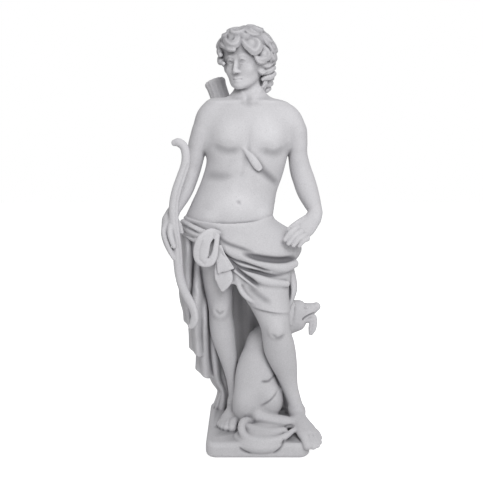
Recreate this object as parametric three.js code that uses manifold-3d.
// A garden statue of a standing young archer with a hound, cast in one with its plinth.
// Millimetres, +Z up. The origin is the centre of the plinth's underside, +X is the right-hand
// side of the front view, and the statue faces -Y.
import * as THREE from "three";
import { mergeVertices } from "three/addons/utils/BufferGeometryUtils.js";
import Module from "manifold-3d";

const wasm = await Module();
wasm.setup();

// Driving dimensions
const figureHeight = 1156; // from the ground under the feet to the top of the hair
const plinthWidth = 290;
const plinthDepth = 334;
const plinthThickness = 44;
const plinthCorner = 30; // how far each corner is rounded in plan
const plinthEdge = 13; // how far the upper and lower edges are rounded
const bowWidth = 27; // across the limbs at the grip
const quiverLength = 290;
const quiverRadius = 29; // at the mouth
const strapWidth = 22;
const curtainThickness = 30; // the cloth that hangs behind the legs and props the figure

// The pose below is written for a figure 1156 mm tall whose feet stand at a height of 44 mm.
const POSE_HEIGHT = 1156;
const POSE_GROUND = 44;
const SINK = 8; // how deep the feet, paws and cloth run into the plinth
const scale = figureHeight / POSE_HEIGHT;
const radians = THREE.MathUtils.degToRad;

// A pose point in the part's own frame.
function place([x, y, z]) {
  return new THREE.Vector3(x * scale, y * scale, plinthThickness + (z - POSE_GROUND) * scale);
}

// A closed three.js geometry as a solid, turned right side out.
function solid(geometry) {
  geometry.deleteAttribute("normal");
  geometry.deleteAttribute("uv");
  const merged = mergeVertices(geometry);
  const vertProperties = new Float32Array(merged.attributes.position.array);
  const faces = new Uint32Array(merged.index.array);
  const make = (triVerts) => new wasm.Manifold(new wasm.Mesh({ numProp: 3, vertProperties, triVerts }));
  const made = make(faces);
  return made.volume() > 0 ? made : make(faces.slice().reverse());
}

// A geometry with every vertex moved to the pose point that at(vertex) gives.
function bend(geometry, at) {
  geometry.deleteAttribute("normal");
  geometry.deleteAttribute("uv");
  const bent = mergeVertices(geometry);
  const { position } = bent.attributes;
  const vertex = new THREE.Vector3();
  for (let i = 0; i < position.count; i++) {
    const p = place(at(vertex.fromBufferAttribute(position, i)));
    position.setXYZ(i, p.x, p.y, p.z);
  }
  return solid(bent);
}

// A closed column of `sides` by `steps` faces. at(turn, t, r) gives its points: t runs from 0 to 1
// along it, and r is 1 on its skin and 0 in the middle of its ends.
function column(sides, steps, at) {
  const unit = new THREE.CylinderGeometry(1, 1, 1, sides, steps);
  return bend(unit, (v) => at(Math.atan2(v.z, v.x), v.y + 0.5, Math.min(Math.hypot(v.x, v.z), 1)));
}

// The row of a table at t from 0 to 1, on a smooth (Catmull-Rom) curve through its rows.
function rowAt(rows, t) {
  const at = t * (rows.length - 1);
  const i = Math.min(Math.floor(at), rows.length - 2);
  const u = at - i;
  const near = [i - 1, i, i + 1, i + 2].map((j) => rows[Math.min(Math.max(j, 0), rows.length - 1)]);
  return near[1].map((_, k) => {
    const [a, b, c, d] = near.map((row) => row[k] ?? 0);
    return b + 0.5 * u * (c - a + u * (2 * a - 5 * b + 4 * c - d + u * (3 * (b - c) + d - a)));
  });
}

// A form built up from level sections. A row is [height, x, y, half width, depth in front, depth
// behind]. relief(x, y, z) pushes the skin out, or in where it is negative.
function loft(rows, { sides = 16, steps = 12, relief = () => 0 } = {}) {
  return column(sides, steps, (turn, t, r) => {
    const [z, x, y, wide, front, back] = rowAt(rows, t);
    const [c, s] = [Math.cos(turn), Math.sin(turn)];
    const [px, py] = [x + wide * c, y + (s < 0 ? front : back) * s];
    const push = r < 0.5 ? 0 : relief(px, py, z);
    return [x + r * (px + push * c - x), y + r * (py + push * s - y), z];
  });
}

// A form carried along a path. A row is [x, y, z, radius across, radius towards `facing`].
function rope(rows, { sides = 8, steps = 10, facing = [0, -1, 0] } = {}) {
  return column(sides, steps, (turn, t, r) => {
    const [x, y, z, across, towards] = rowAt(rows, t);
    const ahead = new THREE.Vector3(...rowAt(rows, Math.min(t + 0.02, 1)));
    const along = ahead.sub(new THREE.Vector3(...rowAt(rows, Math.max(t - 0.02, 0)))).normalize();
    const side = new THREE.Vector3(...facing).cross(along).normalize();
    const out = along.cross(side);
    const p = new THREE.Vector3(x, y, z).addScaledVector(side, r * across * Math.cos(turn));
    return p.addScaledVector(out, r * (towards || across) * Math.sin(turn)).toArray();
  });
}

// The sum of rounded swellings, or hollows where the height is negative. A row is
// [x, y, z, reach in x, reach in y, reach in z, height].
function swellings(table) {
  return (x, y, z) =>
    table.reduce((sum, [cx, cy, cz, rx, ry, rz, high]) => {
      const far = ((x - cx) / rx) ** 2 + ((y - cy) / ry) ** 2 + ((z - cz) / rz) ** 2;
      return sum + high * Math.exp(-far);
    }, 0);
}

// The plinth, with rounded corners and edges and a bulge in front that carries the hound's tail.
function plinth() {
  const [x, y] = [plinthWidth / 2 - plinthEdge, plinthDepth / 2 - plinthEdge];
  const corner = plinthCorner - plinthEdge;
  const outline = new THREE.Shape();
  outline.absarc(x - corner, y - corner, corner, 0, Math.PI / 2);
  outline.absarc(corner - x, y - corner, corner, Math.PI / 2, Math.PI);
  outline.absarc(corner - x, corner - y, corner, Math.PI, Math.PI * 1.5);
  outline.absarc(x - corner, corner - y, corner, Math.PI * 1.5, Math.PI * 2);
  const slab = new THREE.ExtrudeGeometry(outline, {
    depth: plinthThickness - 2 * plinthEdge,
    bevelThickness: plinthEdge,
    bevelSize: plinthEdge,
    bevelSegments: 2,
    curveSegments: 2,
  });
  slab.translate(0, 0, plinthEdge);
  const bulge = new THREE.SphereGeometry(1, 12, 6);
  bulge.scale(0.28 * plinthWidth, 0.18 * plinthDepth, 0.74 * plinthThickness);
  bulge.translate(0.035 * plinthWidth, -0.36 * plinthDepth, 0.82 * plinthThickness);
  return [solid(slab), solid(bulge)];
}

// Chest, belly and back, bare down to the hips.
function torso() {
  const sections = [
    [560, -68, -17, 112, 64, 70],
    [610, -77, -17, 124, 68, 74],
    [655, -82, -17, 126, 67, 72],
    [695, -71, -17, 121, 65, 65],
    [735, -58, -17, 115, 64, 61],
    [775, -43, -17, 114, 67, 61],
    [815, -32, -17, 114, 73, 65],
    [855, -28, -17, 118, 78, 70],
    [895, -26, -17, 121, 80, 74],
    [932, -26, -16, 124, 74, 72],
    [962, -26, -14, 124, 60, 64],
    [986, -26, -11, 96, 47, 54],
    [1004, -25, -9, 60, 38, 43],
    [1018, -24, -9, 40, 32, 36],
  ];
  const muscles = swellings([
    [-78, -80, 903, 42, 60, 36, 9], // breast muscles, with the furrow between them
    [28, -80, 903, 42, 60, 36, 9],
    [-26, -90, 895, 11, 60, 60, -6],
    [-30, -90, 846, 70, 50, 12, -5],
    [-52, -85, 765, 30, 50, 50, 5], // belly, with the navel low in it
    [-55, -85, 708, 60, 50, 30, 6],
    [-53, -85, 704, 10, 40, 9, -6],
    [-26, 70, 860, 14, 60, 110, -9], // spine and shoulder blades
    [-80, 60, 905, 34, 40, 50, 7],
    [30, 60, 905, 34, 40, 50, 7],
  ]);
  return loft(sections, { sides: 18, steps: 12, relief: muscles });
}

// What is left of the strap across the chest.
function strap() {
  const half = strapWidth / 2;
  return rope(
    [
      [-48, -90, 862, 3, 4],
      [-34, -93, 846, half * 0.55, 5],
      [-17, -93, 826, half, 7],
      [-2, -91, 806, half, 7],
      [6, -88, 794, half * 0.6, 5],
    ],
    { sides: 6, steps: 4 },
  );
}

// The head without its hair. The face is a plain, calm one in even proportions, made in a frame
// of its own that looks along -Y, then turned and nodded.
const HEAD = [-34, -27, 1099];
const HEAD_TURN = [8, 0, -28]; // nod and turn in degrees
const HAIR_CENTRE = new THREE.Vector3(0, 8, 17);
const HAIR_SIZE = new THREE.Vector3(65, 70, 71);
function head() {
  const sections = [
    [-78, 0, -34, 16, 19, 20],
    [-66, 0, -28, 30, 32, 34],
    [-48, 0, -20, 39, 40, 46],
    [-28, 0, -12, 44, 47, 58],
    [-8, 0, -6, 47, 53, 66],
    [14, 0, -2, 49, 57, 66],
    [38, 0, 0, 48, 57, 62],
    [58, 0, 2, 40, 46, 50],
    [72, 0, 4, 22, 26, 28],
  ];
  const features = swellings([
    [-18, -60, 2, 11, 30, 7, -5], // eye hollows
    [18, -60, 2, 11, 30, 7, -5],
    [0, -60, -41, 12, 30, 7, 4], // lips and chin
    [0, -60, -66, 12, 30, 9, 4],
  ]);
  const shape = column(14, 10, (turn, t, r) => {
    const [z, x, y, wide, front, back] = rowAt(sections, t);
    const [c, s] = [Math.cos(turn), Math.sin(turn)];
    const push = r < 0.5 ? 0 : features(x + wide * c, y + (s < 0 ? front : back) * s, z);
    return onHead([x + r * (wide + push) * c, y + r * ((s < 0 ? front : back) + push) * s, z]);
  });
  const nose = rope(
    [
      [0, -57, 6, 5, 5],
      [0, -63, -8, 6, 6],
      [0, -68, -20, 8, 8],
      [0, -60, -26, 9, 6],
    ].map(([x, y, z, ...rest]) => [...onHead([x, y, z]), ...rest]),
    { sides: 6, steps: 3 },
  );
  const neck = rope(
    [
      [-24, -10, 980, 46, 42],
      [-24, -10, 1004, 37, 36],
      [-26, -14, 1030, 34, 35],
      [-30, -20, 1062, 34, 36],
    ],
    { sides: 10, steps: 3 },
  );
  return [shape, nose, neck];
}

// A point in the head's own frame as a pose point.
function onHead(p) {
  const euler = new THREE.Euler(...HEAD_TURN.map(radians), "ZYX");
  return new THREE.Vector3(...p).applyEuler(euler).add(new THREE.Vector3(...HEAD)).toArray();
}

// Hair: a cap rolling in rows of waves that leaves the face free, with a wreath of separate curls
// round the face. Each curl is a comma that winds up as it leaves its root.
function hair() {
  const { smoothstep } = THREE.MathUtils;
  const unit = new THREE.SphereGeometry(1, 16, 10);
  const cap = bend(unit, (v) => {
    const [down, round] = [Math.acos(v.y), Math.atan2(v.x, v.z)];
    const wave = 0.07 * Math.sin(5 * round + 4 * down) * Math.sin(7 * down);
    const face = smoothstep(down, 0.9, 1.25) * (1 - smoothstep(Math.abs(round), 0.9, 1.4));
    const p = new THREE.Vector3(v.x, -v.z, v.y).multiplyScalar(1.12 + wave - 0.42 * face).multiply(HAIR_SIZE);
    return onHead(p.add(HAIR_CENTRE).toArray());
  });
  const wreath = [
    { tilt: 47, around: [-62, -22, 20, 58], size: 35 },
    { tilt: 80, around: [-98, -68, 66], size: 33 },
    { tilt: 108, around: [-104, -76, 78], size: 29 },
    { tilt: 128, around: [-100], size: 29 },
  ];
  const curls = wreath.flatMap((row) =>
    row.around.map((around, i) => curl(row.tilt, around, row.size, i % 2 ? 1 : -1)),
  );
  return [cap, ...curls];
}

// One curl, `tilt` degrees down from the crown and `around` degrees round from the face.
function curl(tilt, around, size, hand) {
  const [down, round] = [radians(tilt), radians(around)];
  const normal = new THREE.Vector3(
    -Math.sin(down) * Math.sin(round),
    -Math.sin(down) * Math.cos(round),
    Math.cos(down),
  );
  const seat = normal.clone().multiply(HAIR_SIZE).add(HAIR_CENTRE);
  const across = new THREE.Vector3(0, 0, 1).cross(normal).normalize();
  const up = normal.clone().cross(across);
  const path = [];
  for (let i = 0; i <= 4; i++) {
    const wind = 0.9 + i * 1.35;
    const reach = size * (0.62 - i * 0.1);
    const p = seat.clone().addScaledVector(across, hand * reach * Math.sin(wind));
    p.addScaledVector(up, reach * Math.cos(wind)).addScaledVector(normal, 1.5 * i);
    const thick = size * (0.16 + 0.22 * Math.sin((Math.PI * (i + 0.6)) / 5));
    path.push([...onHead(p.toArray()), thick]);
  }
  return rope(path, { sides: 5, steps: 4, facing: [0.1, -1, 0.15] });
}

// The figure's own right arm, which hangs and holds the bow.
function bowArm() {
  const arm = [
    [-122, -14, 958, 30, 30],
    [-144, -18, 936, 36, 40],
    [-163, -20, 905, 31, 38],
    [-176, -16, 870, 28, 33],
    [-181, -10, 832, 28, 31],
    [-189, -4, 797, 25, 28],
    [-197, -8, 767, 24, 28],
    [-208, -20, 736, 23, 26],
    [-223, -38, 706, 21, 22],
    [-235, -55, 682, 18, 19],
    [-248, -72, 655, 19, 20],
  ];
  const hand = [
    [-243, -66, 668, 19, 18],
    [-251, -80, 640, 19, 20],
    [-254, -88, 610, 17, 21],
    [-246, -92, 582, 14, 18],
    [-236, -92, 560, 9, 13],
    [-229, -90, 545, 6, 8],
  ];
  const thumb = [
    [-240, -70, 655, 10, 10],
    [-226, -76, 630, 10, 10],
    [-214, -84, 608, 7, 9],
  ];
  return [
    rope(arm, { sides: 9, steps: 9 }),
    rope(hand, { sides: 8, steps: 5 }),
    rope(thumb, { sides: 5, steps: 2 }),
  ];
}

// The other arm, whose hand presses the cloth against the hip.
function restArm() {
  const arm = [
    [72, -14, 962, 28, 30],
    [94, -18, 938, 34, 40],
    [112, -18, 905, 29, 38],
    [117, -14, 870, 26, 33],
    [118, -8, 835, 28, 31],
    [126, -2, 797, 31, 32],
    [136, -4, 767, 32, 33],
    [145, -18, 736, 31, 31],
    [155, -38, 706, 26, 27],
    [163, -58, 680, 20, 21],
    [158, -72, 660, 20, 19],
  ];
  const hand = [
    [163, -62, 674, 19, 18],
    [151, -76, 650, 24, 17],
    [131, -88, 626, 27, 15],
    [110, -96, 606, 22, 12],
    [88, -98, 592, 13, 9],
    [74, -96, 587, 7, 6],
  ];
  return [rope(arm, { sides: 9, steps: 9 }), rope(hand, { sides: 8, steps: 5 })];
}

// A recurved bow held upright, its lower half lying against the cloth.
function bow() {
  const half = bowWidth / 2;
  const path = [
    [-230, -84, 868, 9],
    [-218, -86, 869, 12],
    [-204, -88, 858, 12],
    [-198, -90, 836, 12],
    [-200, -91, 808, 12.5],
    [-211, -92, 775, 13],
    [-224, -92, 738, half],
    [-232, -92, 700, half],
    [-233, -92, 660, half],
    [-229, -92, 618, half],
    [-224, -92, 575, half],
    [-222, -90, 535, half],
    [-219, -87, 500, 13],
    [-211, -84, 466, 13],
    [-198, -80, 436, 12.5],
    [-184, -77, 408, 12],
    [-178, -75, 382, 12],
    [-182, -74, 360, 12],
    [-192, -74, 349, 8],
  ];
  return rope(
    path.map(([x, y, z, r]) => [x, y, z, r, r * 0.95]),
    { sides: 6, steps: 15 },
  );
}

// The quiver, slung down the back from the right shoulder, with a rim at its open mouth.
function quiver() {
  const mouth = new THREE.Vector3(-126, 78, 1062);
  const along = new THREE.Vector3(0.33, -0.085, -0.94).normalize();
  const at = (share, radius) => [
    ...mouth.clone().addScaledVector(along, (share * quiverLength) / scale).toArray(),
    (radius * quiverRadius) / scale,
  ];
  return rope([at(0, 1), at(0.12, 0.97), at(0.4, 0.9), at(0.75, 0.8), at(1, 0.62)], { sides: 10, steps: 3 });
}

// The cloth wound round the hips and over the left thigh.
function hipCloth() {
  const sections = [
    [478, -30, -22, 118, 76, 88],
    [505, -34, -21, 136, 80, 88],
    [535, -36, -20, 150, 82, 86],
    [565, -36, -19, 160, 82, 84],
    [592, -42, -18, 158, 80, 82],
    [618, -58, -17, 142, 77, 79],
    [642, -76, -17, 130, 73, 76],
    [660, -82, -17, 123, 62, 70],
  ];
  const thigh = [
    [404, 33, -61, 60, 57, 59],
    [420, 30, -58, 64, 60, 62],
    [448, 20, -50, 71, 64, 72],
    [485, 12, -38, 84, 68, 80],
    [525, 6, -28, 96, 70, 84],
    [560, 0, -20, 90, 66, 78],
  ];
  const sideFold = [
    [92, -4, 520, 14, 30],
    [98, -10, 492, 15, 30],
    [104, -18, 455, 15, 26],
    [99, -24, 425, 12, 22],
    [90, -28, 398, 8, 14],
  ];
  return [
    loft(sections, { sides: 16, steps: 7 }),
    loft(thigh, { sides: 14, steps: 5 }),
    rope(sideFold, { sides: 6, steps: 5 }),
  ];
}

// The folds that run from the knot across the hips and the thigh, and the edge of the cloth over the
// thigh. A row is [x, height, thickness].
function swags() {
  const folds = [
    [[-106, 590, 7], [-73, 568, 13], [-30, 551, 16], [12, 534, 17], [70, 521, 17], [108, 529, 12]],
    [[-105, 576, 5], [-80, 553, 8], [-50, 536, 9], [-10, 522, 8], [35, 508, 4]],
    [[-92, 553, 6], [-60, 528, 10], [-22, 505, 12], [27, 484, 12], [84, 474, 9]],
    [[-60, 512, 6], [-57, 486, 7], [-50, 460, 8], [-34, 436, 8], [-4, 418, 6]],
  ];
  return folds.map((fold) => {
    const rows = fold.map(([x, z, thick]) => {
      const [middle, half, front, y] = z > 500 ? [-38, 164, 84, -19] : [14, 92, 70, -42];
      const round = Math.sqrt(Math.max(0, 1 - ((x - middle) / half) ** 2));
      return [x, y - (front - 0.35 * thick) * round, z, thick, thick * 0.8];
    });
    return rope(rows, { sides: 5, steps: 5 });
  });
}

// The knot at the right hip: a standing loop and two ends that hang below it.
function knot() {
  const loop = [
    [-114, -100, 624, 9, 9],
    [-132, -110, 618, 14, 10],
    [-149, -118, 600, 19, 11],
    [-157, -121, 575, 21, 12],
    [-156, -120, 553, 19, 12],
    [-146, -118, 541, 14, 11],
    [-130, -116, 543, 12, 11],
    [-120, -112, 562, 10, 10],
    [-115, -104, 598, 8, 10],
  ];
  const shortEnd = [
    [-107, -98, 586, 8, 8],
    [-103, -104, 560, 14, 9],
    [-95, -105, 535, 20, 9],
    [-88, -102, 512, 25, 6],
  ];
  const longEnd = [
    [-104, -92, 552, 12, 9],
    [-99, -97, 520, 22, 9],
    [-94, -97, 492, 25, 8],
    [-97, -94, 460, 8, 6],
  ];
  const behind = [
    [-205, -46, 640, 12, 12],
    [-182, -72, 626, 15, 14],
    [-150, -92, 612, 16, 13],
    [-122, -98, 604, 12, 10],
  ];
  return [
    rope(loop, { sides: 5, steps: 9 }),
    rope(shortEnd, { sides: 6, steps: 3 }),
    rope(longEnd, { sides: 6, steps: 3 }),
    rope(behind, { sides: 6, steps: 3 }),
  ];
}

// The cloth that falls beside and behind the right leg to the plinth.
function curtain() {
  const thick = curtainThickness / scale;
  const foot = POSE_GROUND - SINK;
  const sheet = bend(new THREE.BoxGeometry(1, 1, 1, 20, 1, 4), (v) => {
    const [across, down] = [v.x + 0.5, 0.5 - v.z];
    const drop = down ** 0.6;
    const x = THREE.MathUtils.lerp(-136 + 12 * Math.sin(4 * down), 46 + 42 * drop, across);
    const flutes = 8 * drop * Math.sin(across * 5 * 2 * Math.PI + 1.5 * down);
    const y = 12 + 84 * drop + 24 * Math.sin(Math.PI * across) + flutes + v.y * thick;
    return [x, y, THREE.MathUtils.lerp(640, foot, down)];
  });
  const folds = [
    [
      [-196, 0, 636, 24, 54],
      [-198, 4, 540, 30, 60],
      [-204, 20, 430, 25, 52],
      [-202, 34, 372, 19, 42],
      [-199, 40, 330, 20, 34],
    ],
    [
      [-172, 8, 570, 22, 60],
      [-174, 16, 450, 28, 62],
      [-178, 30, 350, 27, 56],
      [-178, 42, 300, 26, 46],
      [-176, 50, 240, 27, 38],
    ],
    [
      [-154, 44, 480, 22, 50],
      [-156, 52, 360, 28, 50],
      [-158, 66, 290, 27, 44],
      [-158, 76, 225, 26, 40],
      [-156, 82, 162, 30, 36],
    ],
    [
      [-136, 60, 400, 22, 34],
      [-130, 68, 280, 26, 34],
      [-126, 84, 200, 24, 34],
      [-118, 98, 135, 20, 31],
      [-110, 112, foot, 24, 34],
    ],
  ];
  return [sheet, ...folds.map((rows) => rope(rows, { sides: 6, steps: 5 }))];
}

// The right leg, which bears the weight.
function standingLeg() {
  const leg = [
    [58, -66, 38, 20, 26, 34],
    [95, -66, 34, 18, 20, 22],
    [135, -68, 32, 19, 20, 23],
    [175, -74, 30, 21, 23, 27],
    [215, -82, 27, 26, 26, 34],
    [255, -91, 22, 31, 29, 40],
    [295, -99, 15, 36, 33, 44],
    [335, -104, 8, 37, 36, 42],
    [375, -107, 0, 35, 38, 38],
    [415, -109, -6, 38, 42, 42],
    [465, -115, -12, 45, 50, 52],
    [515, -118, -15, 53, 58, 62],
    [565, -116, -16, 60, 62, 68],
  ];
  const foot = [
    [-64, 72, 62, 21, 22],
    [-65, 40, 68, 24, 28],
    [-70, 5, 66, 24, 24],
    [-77, -30, 60, 29, 17],
    [-82, -58, 54, 30, 12],
    [-84, -74, 52, 22, 8],
  ];
  const kneecap = swellings([[-109, -40, 388, 20, 30, 22, 5]]);
  return [
    loft(leg, { sides: 12, steps: 10, relief: kneecap }),
    rope(foot, { sides: 8, steps: 5, facing: [0, 0, 1] }),
  ];
}

// The left leg, bent a little at the knee, its toes over the corner of the plinth.
function easedLeg() {
  const leg = [
    [60, 119, -44, 20, 30, 28],
    [95, 117, -44, 22, 24, 25],
    [130, 107, -40, 22, 24, 26],
    [165, 96, -36, 25, 25, 30],
    [200, 86, -37, 33, 29, 38],
    [235, 76, -43, 41, 34, 46],
    [270, 67, -52, 46, 38, 52],
    [305, 61, -63, 45, 40, 50],
    [340, 53, -71, 42, 43, 46],
    [375, 44, -70, 47, 46, 50],
    [420, 30, -60, 58, 52, 60],
    [470, 20, -45, 68, 60, 70],
    [520, 12, -32, 74, 62, 74],
  ];
  const foot = [
    [116, -12, 62, 20, 21],
    [118, -42, 70, 23, 28],
    [124, -80, 66, 27, 23],
    [133, -118, 60, 30, 17],
    [141, -152, 54, 29, 12],
    [144, -174, 52, 22, 9],
  ];
  const kneecap = swellings([[50, -115, 352, 20, 30, 22, 5]]);
  return [
    loft(leg, { sides: 12, steps: 10, relief: kneecap }),
    rope(foot, { sides: 8, steps: 5, facing: [0, 0, 1] }),
  ];
}

// The hound, sitting with its back to the front, its head out to the right behind the left leg.
function hound() {
  const body = [
    [40, -4, -24, 56, 40, 70],
    [80, -4, -26, 60, 46, 80],
    [125, -3, -24, 62, 46, 84],
    [170, -3, -18, 62, 46, 84],
    [210, -1, -8, 58, 46, 80],
    [245, 5, 1, 52, 44, 72],
    [275, 13, 10, 45, 40, 62],
    [300, 22, 16, 38, 36, 54],
    [318, 30, 20, 26, 26, 40],
  ];
  const neck = [
    [16, 18, 280, 44, 44],
    [50, 26, 312, 42, 42],
    [86, 30, 338, 42, 40],
    [116, 30, 352, 44, 36],
  ];
  const head = [
    [98, 30, 362, 34, 34],
    [128, 30, 372, 34, 32],
    [150, 30, 373, 27, 26],
    [172, 30, 380, 20, 21],
    [191, 30, 387, 13, 15],
  ];
  const jaw = [
    [130, 30, 352, 14, 20],
    [158, 30, 348, 9, 17],
    [176, 30, 350, 6, 13],
  ];
  const tongue = [
    [168, 30, 354, 12, 6],
    [170, 29, 334, 12, 6],
    [167, 28, 316, 12, 6],
    [165, 28, 304, 8, 5],
  ];
  const tail = [
    [-20, -64, 66, 14],
    [-40, -92, 82, 12],
    [-46, -118, 74, 11],
    [-38, -142, 59, 11],
    [-18, -157, 51, 11],
    [12, -163, 48, 11],
    [44, -160, 49, 10],
    [74, -146, 54, 9],
    [98, -126, 62, 7],
    [112, -112, 66, 5],
  ];
  const haunches = swellings([
    [44, -50, 130, 34, 44, 50, 14],
    [-42, -44, 116, 34, 44, 50, 10],
    [4, -90, 130, 16, 40, 70, -3],
  ]);
  const frontLegs = [
    [
      [46, 66, 260, 26],
      [66, 82, 180, 17],
      [74, 90, 100, 13],
      [84, 94, 56, 16, 14],
      [100, 96, 50, 13, 11],
    ],
    [
      [60, 40, 270, 26],
      [86, 48, 180, 17],
      [96, 52, 100, 13],
      [106, 54, 56, 16, 14],
      [124, 56, 50, 13, 11],
    ],
  ];
  const hindPaw = [
    [20, -62, 84, 26, 20],
    [50, -74, 74, 22, 17],
    [82, -78, 66, 19, 15],
    [104, -78, 60, 12, 12],
  ];
  return [
    loft(body, { sides: 12, steps: 8, relief: haunches }),
    rope(neck, { sides: 10, steps: 3 }),
    rope(head, { sides: 8, steps: 5 }),
    rope(jaw, { sides: 6, steps: 2 }),
    rope(tongue, { sides: 5, steps: 3 }),
    rope(tail, { sides: 6, steps: 9 }),
    rope(hindPaw, { sides: 6, steps: 3, facing: [0, 0, 1] }),
    ...frontLegs.map((rows) => rope(rows, { sides: 6, steps: 5 })),
  ];
}

// One casting: every form runs into its neighbours, and hollows shut in between them are filled.
const forms = [
  plinth(),
  torso(),
  strap(),
  head(),
  hair(),
  bowArm(),
  restArm(),
  bow(),
  quiver(),
  hipCloth(),
  swags(),
  knot(),
  curtain(),
  standingLeg(),
  easedLeg(),
  hound(),
];
const joined = forms.flat().reduce((whole, form) => whole.add(form));
const shells = joined.decompose();
const casting = shells.reduce((outer, shell) => (shell.volume() > outer.volume() ? shell : outer));

const { vertProperties, triVerts } = casting.getMesh();
const surface = new THREE.BufferGeometry();
surface.setAttribute("position", new THREE.BufferAttribute(new Float32Array(vertProperties), 3));
surface.setIndex(new THREE.BufferAttribute(new Uint32Array(triVerts), 1));
surface.computeVertexNormals();

const castStone = new THREE.MeshStandardMaterial({ color: 0xd0ced1, roughness: 0.85, metalness: 0 });
const statue = new THREE.Mesh(surface, castStone);
statue.name = "archer_statue";

const archer = new THREE.Group();
archer.add(statue);
export default archer;
